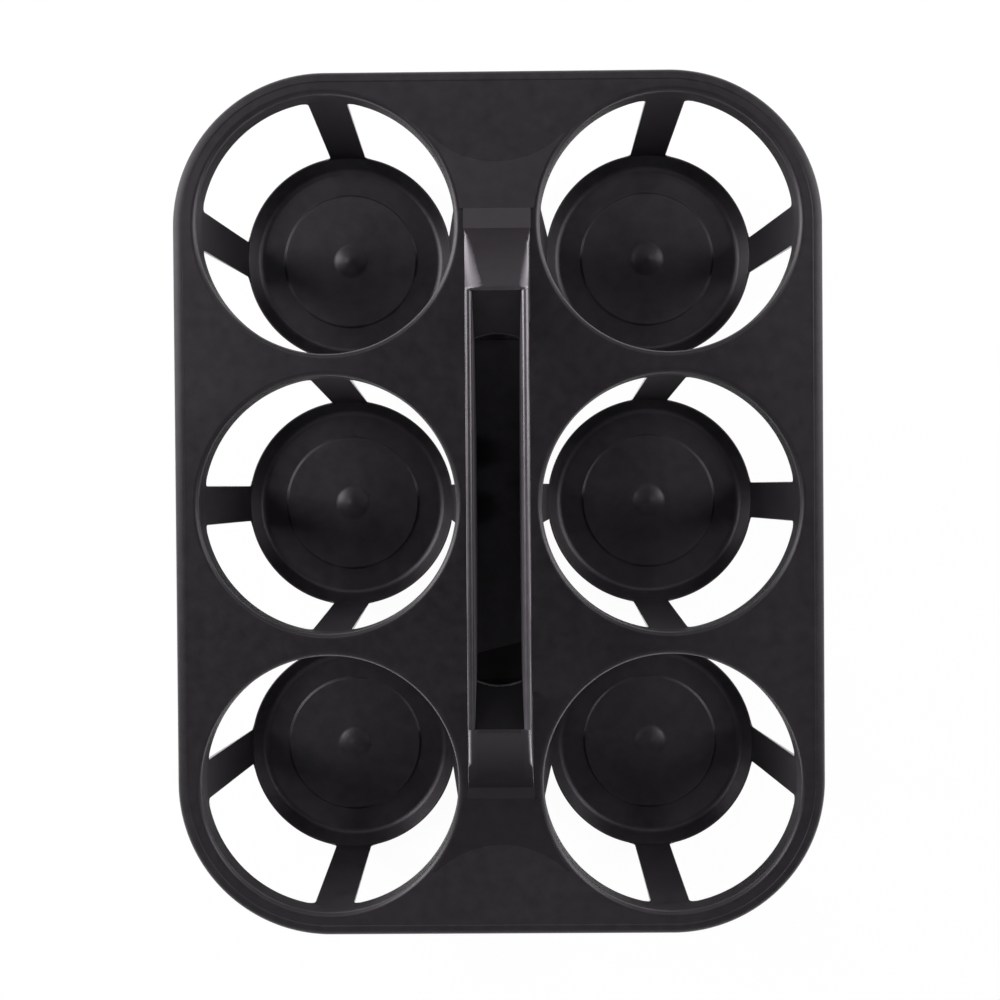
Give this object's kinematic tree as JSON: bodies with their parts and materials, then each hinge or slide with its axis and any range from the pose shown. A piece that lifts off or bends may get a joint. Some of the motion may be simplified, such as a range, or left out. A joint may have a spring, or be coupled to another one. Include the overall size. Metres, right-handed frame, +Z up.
{
  "type": "plant pot carry tray",
  "caption": "Open carry tray with round pockets for plant pots, each a collar with a shallow cup hung on arms, and a fixed bridge handle along the middle.",
  "frame": {"origin": "on the ground below the middle of the tray", "axes": "X across the tray, Y along the handle, Z up from the ground"},
  "size_m": [0.3022, 0.4032, 0.152],
  "materials": {
    "polypropylene": "satin, slightly mottled as moulded"
  },
  "bodies": {
    "root": {"deck_left": "polypropylene", "deck_right": "polypropylene", "deck_strip_back": "polypropylene", "deck_strip_front": "polypropylene", "edge_right": "polypropylene", "edge_back": "polypropylene", "edge_left": "polypropylene", "edge_front": "polypropylene", "edge_corner_back_left": "polypropylene", "edge_corner_back_right": "polypropylene", "edge_corner_front_left": "polypropylene", "edge_corner_front_right": "polypropylene", "slot_lip": "polypropylene", "collar_back_left": "polypropylene", "collar_back_right": "polypropylene", "collar_middle_left": "polypropylene", "collar_middle_right": "polypropylene", "collar_front_left": "polypropylene", "collar_front_right": "polypropylene", "arms_back_left": "polypropylene", "arms_back_right": "polypropylene", "arms_middle_left": "polypropylene", "arms_middle_right": "polypropylene", "arms_front_left": "polypropylene", "arms_front_right": "polypropylene", "cup_back_left": "polypropylene", "cup_back_right": "polypropylene", "cup_middle_left": "polypropylene", "cup_middle_right": "polypropylene", "cup_front_left": "polypropylene", "cup_front_right": "polypropylene", "foot_back_left": "polypropylene", "foot_back_right": "polypropylene", "foot_middle_left": "polypropylene", "foot_middle_right": "polypropylene", "foot_front_left": "polypropylene", "foot_front_right": "polypropylene", "handle_side_left": "polypropylene", "handle_side_right": "polypropylene", "handle_web": "polypropylene", "handle_post_back": "polypropylene", "handle_post_front": "polypropylene", "channel_end_back": "polypropylene", "channel_end_front": "polypropylene", "handle_root_back": "polypropylene", "handle_root_front": "polypropylene"}
  },
  "joints": []
}
